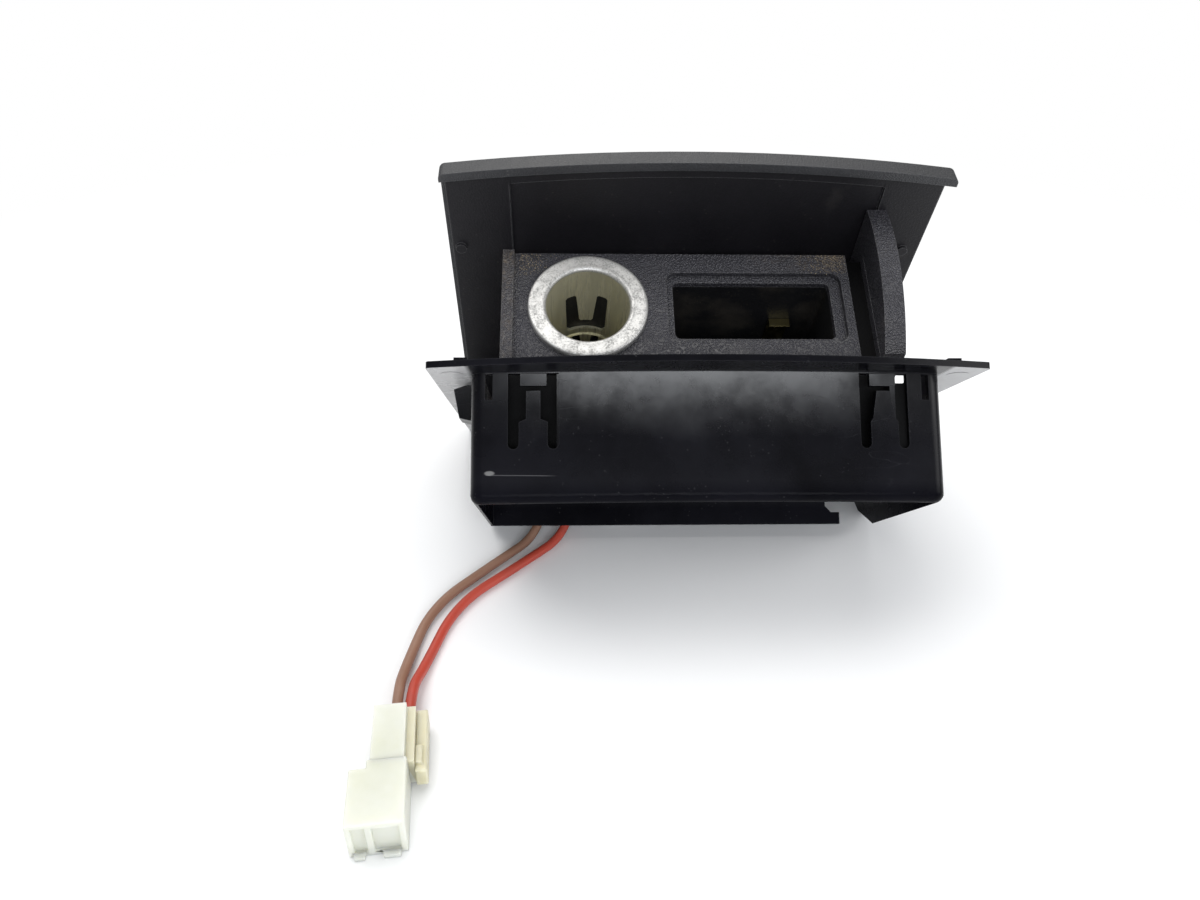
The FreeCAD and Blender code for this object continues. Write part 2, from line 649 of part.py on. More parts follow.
# Connector on the floor: a neck with the wires' bores, a stepped shell and a side lock.
neck_end = V3(-72.9, shift_y - 51.14, 0.0)
FLOOR_PLACE = FreeCAD.Placement(neck_end, FreeCAD.Rotation(V3(0, 0, 1), 6.0))
sw = size("shell_wide") / 2
sh = size("shell_high")
sl = size("shell_long")
nw = size("neck_wide") / 2
nh = size("neck_high")
nl = size("neck_long")
step_x = nw + size("step_wide")
near_y = -nl - sl
neck = body("connector_neck", FLOOR_PLACE)
block(neck, "neck_block", (-nw, nw), (-nl, 0.0), (1.0, 1.0 + nh))
block(neck, "neck_step", (nw - 0.2, step_x), (-nl, 0.0), (1.0, 6.8))
sk = sketch(neck, "neck_bores", "XZ_Plane", -9.0)
mouth = 4.4
bores = (0.6, 3.5)
for x in bores:
    circle(sk, x, mouth, size("wire_r") - size("bore_pinch"), "sizes.wire_r - sizes.bore_pinch")
extrude(neck, "neck_bores_cut", sk, 10.0, None, True)
shell = body("connector_shell", FLOOR_PLACE)
block(shell, "shell_block", (-sw, sw), (near_y, -nl), (0.0, sh))
ledge_x = -sw - size("ledge_wide")
block(shell, "shell_ledge", (ledge_x, -sw + 0.2), (near_y, -nl - 2.0), (0.0, size("ledge_high")))
cell_deep = size("cell_deep")
cells = (("a", ledge_x + 1.2, -sw + 0.3, size("ledge_high") - 1.3), ("b", -sw + 1.7, sw - 1.3, sh - 1.6))
for side, low, high, cell_top in cells:
    block(shell, "shell_cell_" + side, (low, high), (near_y - 1.0, near_y + cell_deep), (1.3, cell_top), True)
for side, low, high in (("a", -6.6, -4.4), ("b", -0.8, 2.6)):
    block(shell, "shell_foot_" + side, (low, high), (near_y - 1.1, near_y + 0.2), (0.0, 1.2))
lock = body("connector_lock", FLOOR_PLACE)
lock_x = step_x + size("lock_wide")
block(lock, "lock_block", (step_x, lock_x), (-nl - 1.2, 0.4), (1.5, 6.5))
block(lock, "lock_nib", (step_x, lock_x - 0.9), (-nl + 0.4, -9.5), (6.4, 7.4))
for side, low, high, cell_top in cells:
    blade = body("connector_pin_" + side, FLOOR_PLACE)
    mid_z = (1.3 + cell_top) / 2
    block(blade, "pin_blade_" + side, ((low + high) / 2 - 1.2, (low + high) / 2 + 1.2),
          (near_y + 0.6, near_y + cell_deep), (mid_z - bt / 2, mid_z + bt / 2))


def cord(label, points):
    """A round cord through corner points: straight runs joined by tangent arcs."""
    edges = []
    radii = []
    long = 0.0
    start = points[0]
    for index in range(1, len(points) - 1):
        corner = points[index]
        before = corner - points[index - 1]
        after = points[index + 1] - corner
        shorter = min(before.Length, after.Length)
        turn = before.getAngle(after)
        setback = 0.45 * shorter
        radius = setback / math.tan(turn / 2)
        radii.append(round(radius, 1))
        b0 = V3(before).normalize()
        a0 = V3(after).normalize()
        first = corner - b0 * setback
        second = corner + a0 * setback
        inward = (a0 - b0).normalize()
        centre = corner + inward * (radius / math.cos(turn / 2))
        middle = centre - inward * radius
        edges.append(Part.LineSegment(start, first).toShape())
        edges.append(Part.Arc(first, middle, second).toShape())
        long += (first - start).Length + radius * turn
        start = second
    edges.append(Part.LineSegment(start, points[-1]).toShape())
    long += (points[-1] - start).Length
    path = Part.Wire(edges)
    ahead = (points[1] - points[0]).normalize()
    ring = Part.Circle(points[0], ahead, size("wire_r")).toShape()
    section = Part.Wire([ring])
    tube = path.makePipeShell([section], True, True)
    made = doc.addObject("Part::Feature", label)
    made.Label = label
    made.Shape = tube
    parts.append(made)
    expected = math.pi * size("wire_r") ** 2 * long
    print(label, "length", round(long, 1), "radii", radii)
    print(label, "volume", round(tube.Volume, 1), "of", round(expected, 1))
    if abs(tube.Volume - expected) > 0.01 * expected:
        raise RuntimeError("cord volume")
    return made


floor_z = size("wire_r") + 0.1
start_y, start_z = rest(wire_y, -26.4)
drop = (start_z - floor_z) / math.cos(tilt)
land_y = start_y - drop * math.sin(tilt)
routes = {
    "wire_brown": (wire_x[0], bores[0], [(-54.6, 3.06), (-69.0, -12.54), (-72.9, -32.54)]),
    "wire_red": (wire_x[1], bores[1], [(-47.0, 3.06), (-62.9, -11.94), (-68.4, -33.24)]),
}
for label, (x, bore, corners) in routes.items():
    points = [V3(x, start_y, start_z), V3(x, land_y, floor_z)]
    for spot in corners:
        points.append(V3(spot[0], shift_y + spot[1], floor_z))
    points.append(FLOOR_PLACE.multVec(V3(bore, 8.0, mouth)))
    points.append(FLOOR_PLACE.multVec(V3(bore, -4.0, mouth)))
    for spot in points:
        print(label, "corner", round(spot.x, 2), round(spot.y, 2), round(spot.z, 2))
    cord(label, points)

doc.recompute()
os.makedirs("parts", exist_ok=True)
corners = []
loose = ("wire_", "connector_")
for made in doc.Objects:
    if "Invalid" in made.State or "Error" in made.State:
        raise RuntimeError("%s is %s" % (made.Label, made.State))
for made in parts:
    if made.Shape.isNull() or not made.Shape.isValid():
        raise RuntimeError("bad shape: " + made.Label)
    if len(made.Shape.Solids) != 1:
        raise RuntimeError("%s has %d solids" % (made.Label, len(made.Shape.Solids)))
    made.Shape.exportStep("parts/%s.step" % made.Label)
    spots = made.Shape.tessellate(0.1)[0]
    if not made.Label.startswith(loose):
        corners += [tuple(spot) for spot in spots]
low = [round(min(spot[axis] for spot in corners), 3) for axis in range(3)]
high = [round(max(spot[axis] for spot in corners), 3) for axis in range(3)]
print("parts", len(parts))
print("box", low, high, "middle along Y", round((low[1] + high[1]) / 2, 3))
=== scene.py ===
import json
import math

import bmesh
import bpy
from mathutils import Euler, Matrix, Vector

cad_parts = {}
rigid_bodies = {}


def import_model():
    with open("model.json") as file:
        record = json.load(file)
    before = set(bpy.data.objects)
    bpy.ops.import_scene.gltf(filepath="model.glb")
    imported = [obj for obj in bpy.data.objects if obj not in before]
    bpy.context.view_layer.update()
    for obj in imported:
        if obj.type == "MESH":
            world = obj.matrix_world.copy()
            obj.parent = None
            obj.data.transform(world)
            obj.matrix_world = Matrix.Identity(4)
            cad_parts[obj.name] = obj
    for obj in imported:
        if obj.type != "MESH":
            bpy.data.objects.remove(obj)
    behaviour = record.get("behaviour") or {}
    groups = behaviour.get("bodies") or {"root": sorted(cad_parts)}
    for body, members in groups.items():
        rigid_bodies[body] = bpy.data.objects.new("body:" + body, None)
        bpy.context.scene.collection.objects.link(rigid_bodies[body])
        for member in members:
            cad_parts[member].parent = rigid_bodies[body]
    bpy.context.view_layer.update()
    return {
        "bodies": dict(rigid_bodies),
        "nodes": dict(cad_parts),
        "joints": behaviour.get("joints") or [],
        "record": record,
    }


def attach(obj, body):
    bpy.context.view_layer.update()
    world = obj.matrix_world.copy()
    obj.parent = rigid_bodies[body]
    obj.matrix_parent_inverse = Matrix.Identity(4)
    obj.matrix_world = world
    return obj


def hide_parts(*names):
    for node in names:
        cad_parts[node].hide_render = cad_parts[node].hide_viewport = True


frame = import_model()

nodes = frame["nodes"]
record = frame["record"]
scene = bpy.context.scene
MM = 0.001

# Places of the resting unit, in millimetres and degrees, as in the part's source.
REST_TILT = math.radians(42.0)
BORE_MIDDLE = 13.85
FLANGE_ORIGIN = Vector((0.0, -28.263, 67.349))
mounts = {m["name"]: m for m in record["mounts"]}
socket_out = Vector(mounts["socket_bore"]["axis"]).normalized()
socket_up = Vector((0.0, socket_out.z, -socket_out.y))
SOCKET_SEAT = Vector(mounts["socket_bore"]["pos_m"]) / MM + socket_out * BORE_MIDDLE


def frame_of(x_axis, y_axis, z_axis, origin):
    """A matrix from a local frame in millimetres to the row frame in metres."""
    turn = Matrix((x_axis, y_axis, z_axis)).transposed().to_4x4()
    return Matrix.Scale(MM, 4) @ Matrix.Translation(origin) @ turn


X = Vector((1.0, 0.0, 0.0))
flange_away = Vector((0.0, math.cos(REST_TILT), -math.sin(REST_TILT)))
flange_out = Vector((0.0, math.sin(REST_TILT), math.cos(REST_TILT)))
FLANGE = frame_of(X, flange_away, flange_out, FLANGE_ORIGIN)
SOCKET = frame_of(X, socket_up, socket_out, SOCKET_SEAT)
PANEL = frame_of(X, socket_up, socket_out, Vector((0.0, SOCKET_SEAT.y, SOCKET_SEAT.z)))


# Node helpers.

class Wiring:
    """Adds nodes to a tree; a value is a number, a colour or another node's output."""

    def __init__(self, tree):
        self.tree = tree

    def add(self, kind, values=None, **settings):
        node = self.tree.nodes.new(kind)
        for key, value in settings.items():
            setattr(node, key, value)
        for key, value in (values or {}).items():
            if isinstance(value, bpy.types.NodeSocket):
                self.tree.links.new(value, node.inputs[key])
            else:
                node.inputs[key].default_value = value
        return node

    def maths(self, operation, first, second=0.0, clamp=False):
        node = self.add("ShaderNodeMath", {0: first, 1: second}, operation=operation, use_clamp=clamp)
        return node.outputs[0]

    def span(self, value, low, high, out_low=0.0, out_high=1.0):
        values = {"Value": value, "From Min": low, "From Max": high, "To Min": out_low, "To Max": out_high}
        return self.add("ShaderNodeMapRange", values).outputs["Result"]

    def mix(self, factor, first, second):
        node = self.add("ShaderNodeMix", data_type="RGBA")
        for index, value in ((0, factor), (6, first), (7, second)):
            if isinstance(value, bpy.types.NodeSocket):
                self.tree.links.new(value, node.inputs[index])
            elif index:
                node.inputs[index].default_value = (*value, 1.0)
            else:
                node.inputs[index].default_value = value
        return node.outputs[2]

    def vector(self, operation, values, output=0):
        return self.add("ShaderNodeVectorMath", values, operation=operation).outputs[output]

    def place(self):
        return self.add("ShaderNodeTexCoord").outputs["Object"]

    def times(self, *values):
        product = values[0]
        for value in values[1:]:
            product = self.maths("MULTIPLY", product, value)
        return product

    def noise(self, vector, scale, detail=4.0, rough=0.55):
        values = {"Vector": vector, "Scale": scale, "Detail": detail, "Roughness": rough}
        return self.add("ShaderNodeTexNoise", values).outputs["Fac"]


def effect(name, inputs, outputs):
    """A shader node group with named sockets: its wiring, its inputs and its output node."""
    tree = bpy.data.node_groups.new(name, "ShaderNodeTree")
    for label, value in inputs.items():
        socket = tree.interface.new_socket(label, in_out="INPUT", socket_type="NodeSocketFloat")
        socket.default_value = value
    for label in outputs:
        tree.interface.new_socket(label, in_out="OUTPUT", socket_type="NodeSocketFloat")
    wiring = Wiring(tree)
    entry = tree.nodes.new("NodeGroupInput")
    leave = tree.nodes.new("NodeGroupOutput")
    return wiring, entry.outputs, leave


def leave_with(wiring, leave, **values):
    for label, value in values.items():
        wiring.tree.links.new(value, leave.inputs[label.replace("_", " ")])


# Mould grain: the leathery stipple of moulded trim.
w, given, leave = effect("mould_grain", {"Scale": 1500.0}, ["Height"])
place = w.place()
cells = w.add("ShaderNodeTexVoronoi", {"Vector": place, "Scale": given["Scale"], "Randomness": 0.9},
              feature="F1").outputs["Distance"]
pebble = w.span(cells, 0.1, 0.66, 1.0, 0.0)
leave_with(w, leave, Height=pebble)

# Dust film: soft patches and scattered specks.
w, given, leave = effect("dust_film", {"Scale": 60.0, "Cover": 0.4}, ["Film", "Specks"])
place = w.place()
cloud = w.noise(place, given["Scale"], 7.0, 0.62)
edge = w.maths("SUBTRACT", 0.86, w.times(given["Cover"], 0.6))
film = w.span(cloud, w.maths("SUBTRACT", edge, 0.2), w.maths("ADD", edge, 0.1))
fine = w.add("ShaderNodeTexVoronoi", {"Vector": place, "Scale": w.times(given["Scale"], 22.0)})
near = w.maths("LESS_THAN", fine.outputs["Distance"], 0.2)
chosen = w.maths("GREATER_THAN", w.noise(place, w.times(given["Scale"], 5.0), 2.0), 0.6)
leave_with(w, leave, Film=film, Specks=w.times(near, chosen))

# Hairlines: thin rubbed scratches, running mostly one way.
w, given, leave = effect("hairlines", {"Scale": 90.0, "Turn": 0.4}, ["Mask"])
place = w.place()
turn = w.add("ShaderNodeCombineXYZ", {"Y": given["Turn"], "Z": given["Turn"]})
laid = w.add("ShaderNodeMapping", {"Vector": place, "Rotation": turn.outputs[0], "Scale": (0.22, 1.6, 1.6)})
field = w.noise(laid.outputs[0], given["Scale"], 2.0, 0.4)
line = w.span(w.maths("ABSOLUTE", w.maths("SUBTRACT", field, 0.5)), 0.004, 0.0)
gate = w.span(w.noise(place, w.times(given["Scale"], 0.7), 3.0), 0.55, 0.7)
leave_with(w, leave, Mask=w.maths("MULTIPLY", line, gate, True))

# Edge wear: where a corner is rubbed, read from the rounded normal.
w, given, leave = effect("edge_wear", {"Width": 0.0006}, ["Mask"])
soft = w.add("ShaderNodeBevel", {"Radius": given["Width"]}, samples=6).outputs[0]
plain = w.add("ShaderNodeNewGeometry").outputs["Normal"]
agree = w.vector("DOT_PRODUCT", {0: soft, 1: plain}, "Value")
broken = w.noise(w.place(), 420.0, 5.0)
worn = w.span(w.maths("ADD", w.maths("SUBTRACT", 1.0, agree), w.times(broken, 0.08)), 0.07, 0.2)
leave_with(w, leave, Mask=worn)


def finish(name):
    """A new material with its wiring and its shader."""
    made = bpy.data.materials.new(name)
    made.use_nodes = True
    shader = made.node_tree.nodes["Principled BSDF"]
    return made, Wiring(made.node_tree), shader


def use(wiring, name, **values):
    node = wiring.tree.nodes.new("ShaderNodeGroup")
    node.node_tree = bpy.data.node_groups[name]
    for key, value in values.items():
        node.inputs[key].default_value = value
    return node.outputs


def relief(wiring, shader, height, strength, depth, base=None):
    bump = wiring.add("ShaderNodeBump", {"Height": height, "Strength": strength, "Distance": depth})
    if base:
        wiring.tree.links.new(base, bump.inputs["Normal"])
    wiring.tree.links.new(bump.outputs[0], shader.inputs["Normal"])


def grained(name, colour, rough, scale, depth, dust=None, dust_cover=0.0, dust_scale=60.0, worn=None,
            specks=0.3, contrast=0.25, specular=0.5):
    """Grained trim plastic with dust and rubbed corners."""
    made, w, shader = finish(name)
    link = w.tree.links.new
    grain = use(w, "mould_grain", Scale=scale)["Height"]
    place = w.place()
    patch = w.noise(place, 45.0, 4.0)
    low = tuple(0.82 * c for c in colour)
    high = tuple(1.2 * c for c in colour)
    paint = w.mix(w.span(patch, 0.3, 0.7), low, high)
    paint = w.mix(w.times(grain, contrast), paint, tuple(2.4 * c for c in colour))
    shine = w.span(patch, 0.3, 0.7, rough - 0.05, rough + 0.06)
    if dust:
        film = use(w, "dust_film", Scale=dust_scale, Cover=dust_cover)
        mask = w.maths("MAXIMUM", w.times(film["Film"], 0.3), w.times(film["Specks"], specks))
        paint = w.mix(mask, paint, dust)
        shine = w.maths("ADD", shine, w.times(mask, 0.3), True)
    if worn:
        rub = use(w, "edge_wear", Width=0.0005)["Mask"]
        paint = w.mix(w.times(rub, 0.5), paint, worn)
    link(paint, shader.inputs["Base Color"])
    link(shine, shader.inputs["Roughness"])
    relief(w, shader, grain, 0.8, depth)
    shader.inputs["Specular IOR Level"].default_value = specular
    if name == "dusty_carrier":
        soil(w, shader, paint)
    return made


def soil(w, shader, paint):
    """Brown dirt gathered in the panel's upper corners and along its left strip."""
    place = w.place()
    across = w.add("ShaderNodeSeparateXYZ", {0: place}).outputs["X"]
    rise = along(w, PANEL.translation, socket_up)
    top = w.span(rise, 0.0105, 0.0172)
    right = w.times(top, w.times(w.span(across, 0.012, 0.039), w.span(across, 0.0414, 0.0408)))
    left = w.times(w.span(rise, -0.014, 0.0165, 0.35, 1.0), w.span(across, -0.0462, -0.0484))
    crumbs = w.span(w.noise(place, 620.0, 6.0, 0.7), 0.47, 0.62)
    wash = w.span(w.noise(place, 90.0, 4.0, 0.6), 0.35, 0.65, 0.25, 1.0)
    amount = w.times(w.maths("MAXIMUM", right, left), w.maths("ADD", w.times(crumbs, 0.55), 0.12))
    amount = w.maths("MULTIPLY", amount, wash, True)
    w.tree.links.new(w.mix(amount, paint, (0.19, 0.145, 0.095)), shader.inputs["Base Color"])


def along(wiring, origin, axis):
    """How far a point lies along an axis from an origin, in metres."""
    place = wiring.place()
    moved = wiring.vector("SUBTRACT", {0: place, 1: tuple(origin)})
    return wiring.vector("DOT_PRODUCT", {0: moved, 1: tuple(axis)}, "Value")


def facing(wiring, axis, low, high):
    """Where a surface faces along an axis."""
    plain = wiring.add("ShaderNodeTexCoord").outputs["Normal"]
    turn = wiring.vector("DOT_PRODUCT", {0: plain, 1: tuple(axis)}, "Value")
    return wiring.span(turn, low, high)


def gloss_black():
    """Gloss black moulding: handled, hazed and finely scratched, its front wall flaring under the flange,
    with a painted floor reflection under the wings.
    """
    made, w, shader = finish("gloss_black_moulding")
    link = w.tree.links.new
    place = w.place()
    haze = w.noise(place, 38.0, 6.0, 0.6)
    smear = w.noise(place, 130.0, 4.0, 0.6)
    lines = use(w, "hairlines", Scale=120.0, Turn=0.5)["Mask"]
    rub = use(w, "edge_wear", Width=0.0005)["Mask"]
    specks = use(w, "dust_film", Scale=42.0, Cover=0.1)["Specks"]
    across = w.add("ShaderNodeSeparateXYZ", {0: place}).outputs["X"]
    down = along(w, FLANGE_ORIGIN * MM, flange_out)
    front = facing(w, -flange_away, 0.93, 0.985)
    # One long scratch with a chip at its left end.
    level = w.maths("ADD", down, w.times(w.maths("ADD", across, 0.0445), 0.018))
    off = w.maths("ABSOLUTE", w.maths("ADD", level, 0.0262))
    length = w.times(w.span(across, -0.053, -0.0525), w.span(across, -0.036, -0.0395))
    scratch = w.times(w.times(w.span(off, 0.00016, 0.00004), length), front)
    chip_x = w.times(w.maths("ADD", across, 0.0519), 0.45)
    chip_z = w.maths("ADD", down, 0.0256)
    chip_r = w.maths("SQRT", w.maths("ADD", w.maths("POWER", chip_x, 2.0), w.maths("POWER", chip_z, 2.0)))
    chip = w.times(w.span(chip_r, 0.00062, 0.0004), front)
    paint = w.mix(w.span(haze, 0.35, 0.7), (0.002, 0.002, 0.0032), (0.005, 0.005, 0.0078))
    paint = w.mix(w.times(lines, 0.15), paint, (0.05, 0.05, 0.06))
    paint = w.mix(w.times(rub, 0.22), paint, (0.06, 0.06, 0.065))
    paint = w.mix(w.times(specks, 0.05), paint, (0.25, 0.25, 0.26))
    aside = w.maths("ABSOLUTE", across)
    # Painted reflection: the pale floor's reflection painted into the colour of the underside of the
    # flange's two wings.
    wing_floor_reflection = w.times(facing(w, -flange_out, 0.9, 0.98), w.span(aside, 0.0562, 0.0575))
    wing_floor_reflection = w.times(wing_floor_reflection, w.span(down, -0.0024, -0.0019))
    paint = w.mix(w.times(wing_floor_reflection, w.span(haze, 0.3, 0.7, 0.75, 1.0)), paint, (0.5, 0.5, 0.505))
    paint = w.mix(w.times(scratch, 0.3), paint, (0.2, 0.2, 0.21))
    paint = w.mix(w.times(chip, 0.5), paint, (0.3, 0.3, 0.3))
    cloudy = w.maths("ADD", w.times(haze, 0.7), w.times(smear, 0.3))
    shine = w.span(cloudy, 0.3, 0.7, 0.2, 0.34)
    ragged = w.maths("ADD", down, w.times(w.maths("SUBTRACT", cloudy, 0.5), 0.011))
    # The front wall flares under the flange and fades downwards.
    under = w.times(w.span(ragged, -0.0175, -0.002), w.span(down, -0.0016, -0.0019))
    under = w.times(under, front, w.span(aside, 0.056, 0.03, 0.35, 1.0))
    base = w.span(down, -0.0275, -0.031, 0.12, 0.03)
    link(w.maths("ADD", w.times(under, 0.44), base), shader.inputs["Specular IOR Level"])
    shine = w.maths("ADD", shine, w.times(w.maths("ADD", lines, scratch), 0.2), True)
    link(paint, shader.inputs["Base Color"])
    link(shine, shader.inputs["Roughness"])
    flare = w.times(under, w.span(smear, 0.25, 0.75, 0.17, 0.27))
    pull = w.vector("SCALE", {0: tuple(-flange_out), "Scale": flare})
    plain = w.add("ShaderNodeNewGeometry").outputs["Normal"]
    leant = w.vector("NORMALIZE", {0: w.vector("ADD", {0: plain, 1: pull})})
    relief(w, shader, w.maths("SUBTRACT", w.times(smear, 0.5), lines), 0.12, 0.00008, leant)
    return made


def plated(name, colour, rough, spot, spot_scale, clean_share, metallic=1.0, streak=0.0):
    """Plated metal with corroded specks: a larger clean share has fewer, a streak draws them out."""
    made, w, shader = finish(name)
    link = w.tree.links.new
    place = w.place()
    if streak:
        deep = along(w, SOCKET.translation, socket_out)
        drawn = w.vector("SCALE", {0: tuple(-streak * socket_out), "Scale": deep})
        place = w.vector("ADD", {0: place, 1: drawn})
    fine = w.noise(place, spot_scale, 7.0, 0.7)
    broad = w.noise(place, spot_scale * 0.16, 4.0, 0.6)
    level = w.maths("ADD", w.times(fine, 0.7), w.times(broad, 0.3))
    spots = w.span(level, 0.64 - 0.3 * clean_share, 0.5 - 0.3 * clean_share)
    clean = w.mix(w.span(broad, 0.3, 0.7), tuple(0.86 * c for c in colour), colour)
    link(w.mix(spots, clean, spot), shader.inputs["Base Color"])
    link(w.span(spots, 0.0, 1.0, rough, min(0.9, rough + 0.35)), shader.inputs["Roughness"])
    link(w.span(spots, 0.0, 1.0, metallic, 0.25 * metallic), shader.inputs["Metallic"])
    relief(w, shader, fine, 0.25, 0.00012)
    return made


def plain_cover(name, colour, rough, grime):
    """Smooth cable cover or small moulding, slightly soiled."""
    made, w, shader = finish(name)
    link = w.tree.links.new
    place = w.place()
    film = w.span(w.noise(place, 110.0, 6.0, 0.65), 0.46, 0.72)
    link(w.mix(w.times(film, 0.45), colour, grime), shader.inputs["Base Color"])
    link(w.span(film, 0.0, 1.0, rough, rough + 0.18), shader.inputs["Roughness"])
    relief(w, shader, w.noise(place, 900.0, 2.0), 0.08, 0.00006)
    return made


def nylon(name, colour, tint):
    """Natural nylon: milky, light passes a little way in."""
    made, w, shader = finish(name)
    link = w.tree.links.new
    place = w.place()
    cloud = w.noise(place, 75.0, 4.0)
    link(w.mix(w.span(cloud, 0.35, 0.7), colour, tint), shader.inputs["Base Color"])
    link(w.span(w.noise(place, 300.0, 3.0), 0.3, 0.7, 0.34, 0.5), shader.inputs["Roughness"])
    shader.inputs["Subsurface Weight"].default_value = 0.85
    shader.inputs["Subsurface Radius"].default_value = (1.0, 0.95, 0.8)
    shader.inputs["Subsurface Scale"].default_value = 0.005
    relief(w, shader, cloud, 0.1, 0.0002)
    return made


FINISH = {
    "housing_black": gloss_black(),
    "pin_steel": plated("plain_steel", (0.55, 0.55, 0.56), 0.35, (0.2, 0.17, 0.14), 900.0, 0.1),
    "lid_grey": grained("grained_lid", (0.02, 0.0205, 0.023), 0.5, 2300.0, 0.00008,
                        (0.2, 0.19, 0.18), 0.12, 40.0, (0.09, 0.09, 0.095), 0.15),
    "backing_grey": grained("lid_lining", (0.0065, 0.006, 0.0078), 0.5, 1700.0, 0.00003,
                            (0.16, 0.15, 0.13), 0.1, 30.0, (0.16, 0.16, 0.165), 0.06, 0.2, 0.3),
    "carrier_grey": grained("dusty_carrier", (0.025, 0.0245, 0.0295), 0.38, 2000.0, 0.00034,
                            (0.22, 0.21, 0.2), 0.2, 55.0, (0.11, 0.108, 0.11), 0.3, 0.95),
    # Painted shade: a flat near-black coat that stands for the shadow deep inside recesses.
    "recess_black": grained("recess_black", (0.0015, 0.0015, 0.0018), 0.6, 1500.0, 0.00002, specular=0.12),
    "cup_black": grained("cup_black", (0.008, 0.008, 0.009), 0.4, 1200.0, 0.00002,
                         (0.14, 0.12, 0.09), 0.3, 60.0),
    "socket_zinc": plated("zinc_ring", (0.66, 0.656, 0.643), 0.5, (0.25, 0.246, 0.235), 2200.0, 0.42),
    "barrel_stain": plated("stained_barrel", (0.82, 0.79, 0.6), 0.3, (0.16, 0.14, 0.08), 480.0, 0.54, 0.7,
                           0.93),
    "sleeve_black": grained("sleeve_black", (0.006, 0.006, 0.006), 0.6, 1200.0, 0.00002),
    "spring_brass": plated("tarnished_brass", (0.13, 0.11, 0.05), 0.3, (0.035, 0.035, 0.02), 600.0, 0.55),
    "insulator_brown": plain_cover("fibre_board", (0.2, 0.1, 0.05), 0.7, (0.1, 0.06, 0.04)),
    "boot_clear": nylon("pale_boot", (0.72, 0.7, 0.62), (0.6, 0.56, 0.45)),
    "cover_red": plain_cover("red_cable_cover", (0.47, 0.06, 0.036), 0.4, (0.32, 0.06, 0.045)),
    "cover_brown": plain_cover("brown_cable_cover", (0.27, 0.145, 0.095), 0.42, (0.32, 0.2, 0.15)),
    "clip_black": grained("clip_black", (0.016, 0.016, 0.018), 0.5, 1500.0, 0.00003),
    "plug_white": nylon("natural_nylon", (0.66, 0.67, 0.6), (0.6, 0.61, 0.51)),
    "lock_ivory": nylon("yellowed_nylon", (0.6, 0.57, 0.42), (0.56, 0.52, 0.36)),
}
slot_of = {s["node"]: s["material_slot"] for s in record["subparts"]}
body_of = {n: b for b, members in record["behaviour"]["bodies"].items() for n in members}


# Piece helpers.

def settle(made, body, slot, coat=None):
    """Dresses a finished piece and lets it ride on its body."""
    made.data.materials.clear()
    made.data.materials.append(coat or FINISH[slot])
    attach(made, body)
    return made


def add_object(name, data):
    made = bpy.data.objects.new(name, data)
    scene.collection.objects.link(made)
    return made


def smooth(mesh, crease=38.0):
    for face in mesh.polygons:
        face.use_smooth = True
    mesh.set_sharp_from_angle(angle=math.radians(crease))


def flatten(made):
    """Leaves the modifiers' result as a plain mesh."""
    bpy.context.view_layer.update()
    solid = made.evaluated_get(bpy.context.evaluated_depsgraph_get())
    mesh = bpy.data.meshes.new_from_object(solid)
    made.modifiers.clear()
    made.data = mesh


def dressed(node, round_off, crease=32.0):
    """A copy of a node with merged faces and rounded edges, which stands for it."""
    mesh = nodes[node].data.copy()
    mesh.name = node + "_skin"
    bm = bmesh.new()
    bm.from_mesh(mesh)
    bmesh.ops.remove_doubles(bm, verts=bm.verts, dist=0.000003)
    bmesh.ops.dissolve_limit(bm, angle_limit=math.radians(0.6), verts=bm.verts, edges=bm.edges)
    if round_off:
        limit = math.radians(crease)
        sharp = [e for e in bm.edges if len(e.link_faces) == 2 and e.calc_face_angle(0.0) > limit]
        bmesh.ops.bevel(bm, geom=sharp, offset=round_off * MM, offset_type="OFFSET", segments=2, profile=0.5,
                        affect="EDGES", clamp_overlap=True, material=-1)
    bmesh.ops.triangulate(bm, faces=[f for f in bm.faces if len(f.verts) > 4])
    bm.to_mesh(mesh)
    bm.free()
    smooth(mesh, 35.0)
    made = add_object(node + "_skin", mesh)
    even = made.modifiers.new("even_normals", "WEIGHTED_NORMAL")
    even.mode = "FACE_AREA_WITH_ANGLE"
    even.weight = 80
    even.keep_sharp = True
    flatten(made)
    settle(made, body_of[node], slot_of[node])
    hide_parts(node)
    return made


# Camera at the photograph's place, over a 1200 by 900 frame.
view = bpy.data.cameras.new("photo_camera")
view.sensor_fit = "HORIZONTAL"
view.sensor_width = 36.0
view.lens = 27.002
view.clip_start = 0.005
camera = add_object("photo_camera", view)
camera.location = (-0.034369, -0.211622, 0.17012)
camera.rotation_euler = Euler([math.radians(a) for a in (55.1375, -1.1681, -1.9324)])
scene.camera = camera

# Leads: the route's corner points are the control points of each spline.
ROUTES = {
    "wire_brown": ((-40.6, -3.42, 9.46), (-40.6, -10.72, 1.35), (-54.6, -25.2, 1.35), (-69.0, -40.8, 1.35),
                   (-72.9, -60.8, 1.35), (-73.14, -71.38, 4.4), (-71.89, -83.32, 4.4)),
    "wire_red": ((-32.6, -3.42, 9.46), (-32.6, -10.72, 1.35), (-47.0, -25.2, 1.35), (-62.9, -40.2, 1.35),
                 (-68.4, -61.5, 1.35), (-70.26, -71.08, 4.4), (-69.0, -83.02, 4.4)),
}
for label, route in ROUTES.items():
    line = bpy.data.curves.new(label + "_cover", "CURVE")
    line.dimensions = "3D"
    line.bevel_depth = 0.00125
    line.bevel_resolution = 8
    line.resolution_u = 24
    line.use_fill_caps = True
    spline = line.splines.new("NURBS")
    spline.points.add(len(route) - 1)
    for point, spot in zip(spline.points, route):
        point.co = (spot[0] * MM, spot[1] * MM, spot[2] * MM, 1.0)
    spline.order_u = 3
    spline.use_endpoint_u = True
    made = add_object(label + "_cover", line)
    settle(made, "housing", slot_of[label])
    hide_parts(label)

